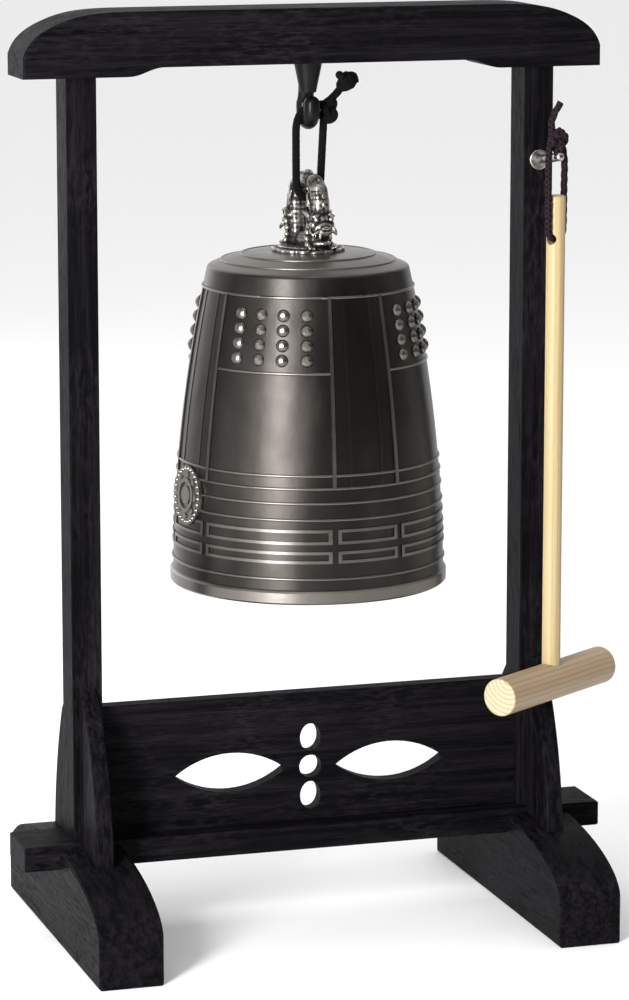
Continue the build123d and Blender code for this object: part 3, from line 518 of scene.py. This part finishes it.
mallet_x, mallet_y = 131.5, -39.9
HANDLE_RUN_OUT = 7.55       # the same beside the mallet's handle
beside = (HANDLE_RUN_OUT * cos(HEAD_TURN), HANDLE_RUN_OUT * sin(HEAD_TURN))
above = (1.03 * beside[0], 1.03 * beside[1])
mallet_route = [place(*point) for point in (
    (132.5, -43.0, 464.5),
    (126.5, -43.0, 456.0),
    (129.1, mallet_y, 446.0),
    (mallet_x - 4.9, mallet_y, 436.2),
    (mallet_x - above[0], mallet_y - above[1], 418.0),
    (mallet_x - 1.01 * beside[0], mallet_y - 1.01 * beside[1], 403.0),
    (mallet_x - beside[0], mallet_y - beside[1], 388.8),
    (mallet_x + beside[0], mallet_y + beside[1], 388.8),
    (mallet_x + 1.01 * beside[0], mallet_y + 1.01 * beside[1], 403.0),
    (mallet_x + above[0], mallet_y + above[1], 418.0),
    (mallet_x + 4.9, mallet_y, 436.2),
    (133.8, mallet_y, 443.0))]
mallet_line = route_line("mallet_cord_route", mallet_route)
mallet_cord, mallet_path, mallet_length = yarn_tube(
    "mallet_cord_twist", mallet_line, MALLET_CORD_DIAMETER / 2, mallet_yarn, **MALLET_TWIST)


def knot_line(centre, reach, turn, lobes=(2.0, 3.0), samples=160):
    """A closed overhand knot, drawn to fit a box about its centre."""
    spin = turned(*turn)
    line = []
    for number in range(samples):
        t = 2 * pi * number / samples
        raw = Vector((sin(t) + lobes[0] * sin(2 * t), cos(t) - lobes[0] * cos(2 * t),
                      -sin(lobes[1] * t)))
        scaled = Vector((raw.x / 3.0 * reach[0], raw.y / 3.0 * reach[1], raw.z * reach[2]))
        line.append(centre + spin @ scaled)
    return line


def wrap_line(centre, axis, radius, length, turns, samples=40):
    """A few tight turns of cord about an axis."""
    axis = Vector(axis).normalized()
    normal = axis.orthogonal().normalized()
    across = axis.cross(normal)
    line = []
    for number in range(int(samples * turns) + 1):
        angle = 2 * pi * number / samples
        run = length * (number / (samples * turns) - 0.5)
        line.append(centre + axis * run + normal * (cos(angle) * radius)
                    + across * (sin(angle) * radius))
    return line


knot_centre = place(11.5, -0.5, 460.0)
loop_knot_parts = [
    yarn_tube("knot_a", knot_line(knot_centre, (4.6 * MM, 5.6 * MM, 2.6 * MM),
                                  (radians(75), 0, radians(15))),
              2.15 * MM, bell_yarn, closed=True)[0],
    yarn_tube("knot_b", wrap_line(knot_centre + Vector((0, 0, -3.4 * MM)), (0.25, 0.1, 1.0),
                                  3.0 * MM, 4.2 * MM, 1.6), 2.1 * MM, bell_yarn)[0]]
bell_cord_knot = join_pieces("bell_cord_loop_knot", loop_knot_parts)
end_centre = place(21.0, -3.0, 476.0)
end_axis = Vector((1.0, 0.0, 0.25)).normalized()
end_knot_parts = [
    yarn_tube("end_a", knot_line(end_centre, (5.2 * MM, 4.4 * MM, 2.7 * MM),
                                 (radians(60), radians(20), 0)),
              2.15 * MM, bell_yarn, closed=True)[0],
    yarn_tube("end_b", wrap_line(end_centre + end_axis * 0.5 * MM, end_axis,
                                 3.1 * MM, 4.6 * MM, 1.8),
              2.1 * MM, bell_yarn)[0],
    yarn_tube("end_c", [end_centre + end_axis * run * MM for run in (-2.0, 1.0, 4.0, 6.5)],
              2.9 * MM, bell_yarn, kind="twist", plaits=5, slope=0.15)[0]]
bell_cord_end_knot = join_pieces("bell_cord_end_knot_tied", end_knot_parts)
mallet_knot_centre = place(132.0, mallet_y, 443.4)
mallet_knot_parts = [
    yarn_tube("tie_a", knot_line(mallet_knot_centre + Vector((0.4 * MM, 0, -0.6 * MM)),
                                 (4.4 * MM, 5.4 * MM, 2.3 * MM), (radians(80), 0, radians(-20))),
              1.95 * MM, mallet_yarn, closed=True, **MALLET_TWIST)[0],
    yarn_tube("tie_b", wrap_line(mallet_knot_centre + Vector((0, 0, 3.6 * MM)), (-0.3, 0.1, 1.0),
                                 2.7 * MM, 3.6 * MM, 1.7),
              1.8 * MM, mallet_yarn, **MALLET_TWIST)[0]]
mallet_cord_knot = join_pieces("mallet_cord_tied_knot", mallet_knot_parts)


# ---------------------------------------------------------------- crown
DOME_TOP = 382.5
CLAY_GRAIN = 0.00042        # size of one voxel of the casting's skin, in metres
CROWN_WIDER = 1.28          # the two heads against the sizes they are written at
CROWN_DEEPER = 1.02
HOLLOW_MIDDLE = 0.42        # value of a flat place
HOLLOW_GAIN = 9.0
HOLLOW_ROUNDS = 6           # rounds of smoothing
HOLLOW_KEPT = 0.4           # share of a point's own depth kept in each round


def unit_ball(around=14, rows=9):
    """The corners and faces of a closed ball of radius one."""
    corners = [(0.0, 0.0, -1.0)]
    for row in range(1, rows):
        lift = pi * row / rows - pi / 2
        for turn in range(around):
            angle = 2 * pi * turn / around
            corners.append((cos(lift) * cos(angle), cos(lift) * sin(angle), sin(lift)))
    corners.append((0.0, 0.0, 1.0))
    faces = []
    top = len(corners) - 1
    for turn in range(around):
        after = (turn + 1) % around
        faces.append((0, 1 + after, 1 + turn))
        for row in range(rows - 2):
            low, high = 1 + row * around, 1 + (row + 1) * around
            faces.append((low + turn, low + after, high + after, high + turn))
        last = 1 + (rows - 2) * around
        faces.append((top, last + turn, last + after))
    return [Vector(corner) for corner in corners], faces


BALL_CORNERS, BALL_FACES = unit_ball()


class Clay:
    """Blobs, limbs and plates that are melted together into one casting."""

    def __init__(self):
        self.corners = []
        self.faces = []

    def add(self, corners, faces):
        first = len(self.corners)
        self.corners += corners
        self.faces += [tuple(first + corner for corner in face) for face in faces]

    def blob(self, centre, reach, turn=(0, 0, 0)):
        shape = turned(*(radians(angle) for angle in turn)) @ Matrix.Diagonal(reach)
        self.add([shape @ corner + Vector(centre) for corner in BALL_CORNERS], BALL_FACES)

    def limb(self, points, radii):
        """A round limb through these points, with these radii."""
        for (start, end), (thick, thin) in zip(zip(points, points[1:]), zip(radii, radii[1:])):
            gap = (Vector(end) - Vector(start)).length
            steps = max(2, round(gap / (0.45 * min(thick, thin))))
            for step in range(steps + 1):
                part = step / steps
                radius = thick + (thin - thick) * part
                self.blob(Vector(start).lerp(Vector(end), part), (radius, radius, radius))

    def disc(self, radius, low, high, lobes=0, lobe_depth=0.0, segments=120):
        corners = []
        for height in (low, high):
            for number in range(segments):
                angle = 2 * pi * number / segments
                reach = radius - lobe_depth * (1 - abs(sin(lobes * angle / 2)))
                corners.append(Vector((reach * cos(angle), reach * sin(angle), height)))
        faces = [tuple(reversed(range(segments))), tuple(range(segments, 2 * segments))]
        for number in range(segments):
            after = (number + 1) % segments
            faces.append((number, after, segments + after, segments + number))
        self.add(corners, faces)


MANE_CURLS = ((14.0, 15.0, 1.9), (12.6, 11.6, 1.8), (12.4, 8.0, 1.8), (13.6, 4.6, 1.9))
BACK_SPINES = ((4.0, 43.1), (8.4, 42.2), (12.4, 39.6), (15.8, 35.8), (17.9, 31.4), (18.9, 27.2))


def dragon_clay():
    """The crown in its own frame, in millimetres: x across, y out of a face, z above the dome."""
    clay = Clay()
    clay.disc(20.6, 0.05, 1.9, lobes=16, lobe_depth=1.3)
    clay.disc(16.6, 1.0, 3.1)
    clay.disc(3.95, -15.5, 1.0)
    clay.blob((0, 0, 5.0), (5.2, 12.0, 6.0))
    clay.limb([(0, -9.0, 38.0), (0, 0, 39.6), (0, 9.0, 38.0)], [4.4, 4.1, 4.4])
    clay.blob((0, 0, 43.0), (2.6, 3.0, 2.3))
    for end in (-1, 1):
        def out(x, y, z):
            return (CROWN_WIDER * x, CROWN_DEEPER * end * y, z)
        clay.limb([out(0, 8.0, 38.2), out(0, 12.6, 34.5), out(0, 14.2, 28.0), out(0, 14.0, 20.0),
                   out(0, 13.2, 10.0), out(0, 13.2, 4.0)], [4.8, 5.1, 5.5, 6.0, 5.8, 6.0])
        clay.blob(out(0, 14.6, 19.5), (7.2, 5.8, 6.0))
        clay.blob(out(0, 17.4, 14.2), (6.0, 4.7, 4.6), (-end * 25, 0, 0))
        clay.blob(out(0, 20.0, 12.4), (4.8, 2.6, 2.7), (-end * 25, 0, 0))
        clay.blob(out(0, 21.2, 14.2), (2.6, 1.7, 1.6))
        clay.blob(out(0, 16.6, 5.4), (5.4, 4.6, 2.2), (end * 12, 0, 0))
        clay.blob(out(0, 20.2, 5.9), (2.6, 1.7, 1.3))
        for side in (-1, 1):
            clay.blob(out(side * 3.6, 19.2, 19.0), (1.5, 1.5, 1.5))
            clay.blob(out(side * 3.7, 18.8, 21.3), (2.5, 1.5, 1.0), (0, side * 18, 0))
            clay.blob(out(side * 1.5, 22.3, 14.4), (0.9, 0.8, 0.8))
            clay.blob(out(side * 4.5, 16.8, 16.0), (1.8, 2.6, 1.9))
            clay.limb([out(side * 2.4, 21.0, 10.6), out(side * 2.5, 21.2, 7.9)], [0.95, 0.3])
            clay.limb([out(side * 3.5, 18.0, 10.4), out(side * 3.5, 18.0, 8.6)], [0.8, 0.35])
            clay.limb([out(side * 3.2, 13.5, 24.0), out(side * 4.4, 11.6, 28.5),
                       out(side * 4.2, 9.6, 32.5)], [1.5, 1.15, 0.6])
            clay.limb([out(side * 4.6, 13.5, 20.5), out(side * 6.6, 11.2, 22.8)], [1.9, 0.7])
            clay.limb([out(side * 3.6, 21.0, 12.6), out(side * 5.6, 20.2, 10.8),
                       out(side * 6.3, 18.4, 12.4), out(side * 5.9, 17.4, 14.2)],
                      [0.8, 0.75, 0.65, 0.4])
            for curl, (y, z, radius) in enumerate(MANE_CURLS):
                clay.blob(out(side * (5.0 + 0.15 * curl), y, z), (radius, radius, radius))
            clay.limb([out(side * 4.8, 15.0, 3.6), out(side * 6.2, 18.4, 3.2)], [1.7, 0.9])
            clay.limb([out(side * 4.0, 15.6, 3.4), out(side * 4.6, 19.6, 3.1)], [1.4, 0.7])
        for spine, (y, z) in enumerate(BACK_SPINES):
            clay.blob(out(0, y, z), (1.0, 1.6, 1.3), (end * (15 + 16 * spine), 0, 0))
    return clay


def cast_crown():
    """Melts the clay into one closed skin and turns it into place on the bell."""
    clay = dragon_clay()
    put = (Matrix.Translation((STAND_X, 0, DOME_TOP * MM)) @ Matrix.Rotation(BELL_TURN, 4, "Z")
           @ Matrix.Diagonal((MM, MM, MM, 1.0)))
    mesh = bpy.data.meshes.new("dragon_crown_cast")
    mesh.from_pydata([put @ corner for corner in clay.corners], [], clay.faces)
    piece = link_mesh("dragon_crown_cast", mesh, crown_metal)
    melt = piece.modifiers.new("melt", "REMESH")
    melt.mode = "VOXEL"
    melt.voxel_size = CLAY_GRAIN
    melt.use_smooth_shade = True
    soften = piece.modifiers.new("soften", "SMOOTH")
    soften.factor = 0.5
    soften.iterations = 2
    bpy.context.view_layer.update()
    graph = bpy.context.evaluated_depsgraph_get()
    done = bpy.data.meshes.new_from_object(piece.evaluated_get(graph))
    piece.modifiers.clear()
    piece.data = done
    if not done.materials:
        done.materials.append(crown_metal)
    for face in done.polygons:
        face.use_smooth = True
    shade_hollows(done)
    return piece


def shade_hollows(mesh):
    """Writes how far each point lies in a hollow, from 0 on a crest to 1 in a groove."""
    shape = bmesh.new()
    shape.from_mesh(mesh)
    shape.verts.ensure_lookup_table()
    depth = []
    for vertex in shape.verts:
        around = [edge.other_vert(vertex).co for edge in vertex.link_edges]
        middle = sum(around, Vector()) / max(1, len(around))
        depth.append((middle - vertex.co).dot(vertex.normal) / CLAY_GRAIN)
    for _ in range(HOLLOW_ROUNDS):
        smooth = []
        for vertex in shape.verts:
            near = [depth[edge.other_vert(vertex).index] for edge in vertex.link_edges]
            middle = sum(near) / max(1, len(near))
            smooth.append(HOLLOW_KEPT * depth[vertex.index] + (1 - HOLLOW_KEPT) * middle)
        depth = smooth
    shape.free()
    layer = mesh.attributes.new("hollow", "FLOAT", "POINT")
    for index, value in enumerate(depth):
        layer.data[index].value = min(1.0, max(0.0, HOLLOW_MIDDLE + HOLLOW_GAIN * value))


crown = cast_crown()

# ---------------------------------------------------------------- riding
for piece, body, node in ((bell_cord, "bell_hanger", "bell_cord"),
                          (bell_cord_knot, "bell_hanger", "bell_cord_knot"),
                          (bell_cord_end_knot, "bell_hanger", "bell_cord_end_knot"),
                          (mallet_cord, "mallet_hanger", "mallet_cord"),
                          (mallet_cord_knot, "mallet_hanger", "mallet_cord_knot")):
    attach(piece, body)
    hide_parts(node)
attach(crown, "bell")
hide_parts("dragon_crown")

# ---------------------------------------------------------------- floor and light
FLOOR_SHADE = 0.93
FLOOR_RADIUS = 14.0
floor_finish = Finish("pale_floor", Roughness=0.6, Specular_IOR_Level=0.2)
floor_colour = (FLOOR_SHADE, FLOOR_SHADE, FLOOR_SHADE, 1.0)
floor_finish.surface.inputs["Base Color"].default_value = floor_colour
floor_shape = bmesh.new()
bmesh.ops.create_circle(floor_shape, cap_ends=True, segments=96, radius=FLOOR_RADIUS)
floor_mesh = bpy.data.meshes.new("floor")
floor_shape.to_mesh(floor_mesh)
floor_shape.free()
floor = link_mesh("floor", floor_mesh, floor_finish.material)


def softbox(name, at, aim_height, width, height, power):
    """A rectangular lamp aimed at the stand's middle, unseen by the camera."""
    light = bpy.data.lights.new(name, "AREA")
    light.shape = "RECTANGLE"
    light.size = width
    light.size_y = height
    light.energy = power
    lamp = bpy.data.objects.new(name, light)
    lamp.visible_camera = False
    lamp.location = at
    aim = Vector((0, 0, aim_height)) - Vector(at)
    lamp.rotation_euler = aim.to_track_quat("-Z", "Y").to_euler()
    bpy.context.scene.collection.objects.link(lamp)


softbox("left_softbox", (-1.30, -1.38, 0.66), 0.30, 0.34, 1.25, 70.0)
softbox("back_left_softbox", (-0.6, 2.0, 0.8), 0.25, 1.0, 1.4, 6.0)
softbox("top_softbox", (-0.2, 0.3, 2.4), 0.2, 1.6, 1.6, 12.0)


def studio_air():
    """Soft light from the world: brightest from above and behind, none from the front below."""
    world = bpy.data.worlds.new("studio_air")
    bpy.context.scene.world = world
    world.use_nodes = True
    tree = world.node_tree
    where = tree.nodes.new("ShaderNodeTexCoord")
    facing = tree.nodes.new("ShaderNodeVectorMath")
    facing.operation = "DOT_PRODUCT"
    brightest = Vector((-0.35, 0.70, 0.62)).normalized()
    facing.inputs[1].default_value = brightest
    strength = tree.nodes.new("ShaderNodeMapRange")
    strength.interpolation_type = "SMOOTHSTEP"
    for socket, value in (("From Min", -0.75), ("From Max", 0.55),
                          ("To Min", 0.0), ("To Max", 1.05)):
        strength.inputs[socket].default_value = value
    background = tree.nodes["Background"]
    background.inputs["Color"].default_value = (1.0, 1.0, 1.0, 1.0)
    tree.links.new(where.outputs["Generated"], facing.inputs[0])
    tree.links.new(facing.outputs["Value"], strength.inputs["Value"])
    tree.links.new(strength.outputs["Result"], background.inputs["Strength"])


studio_air()
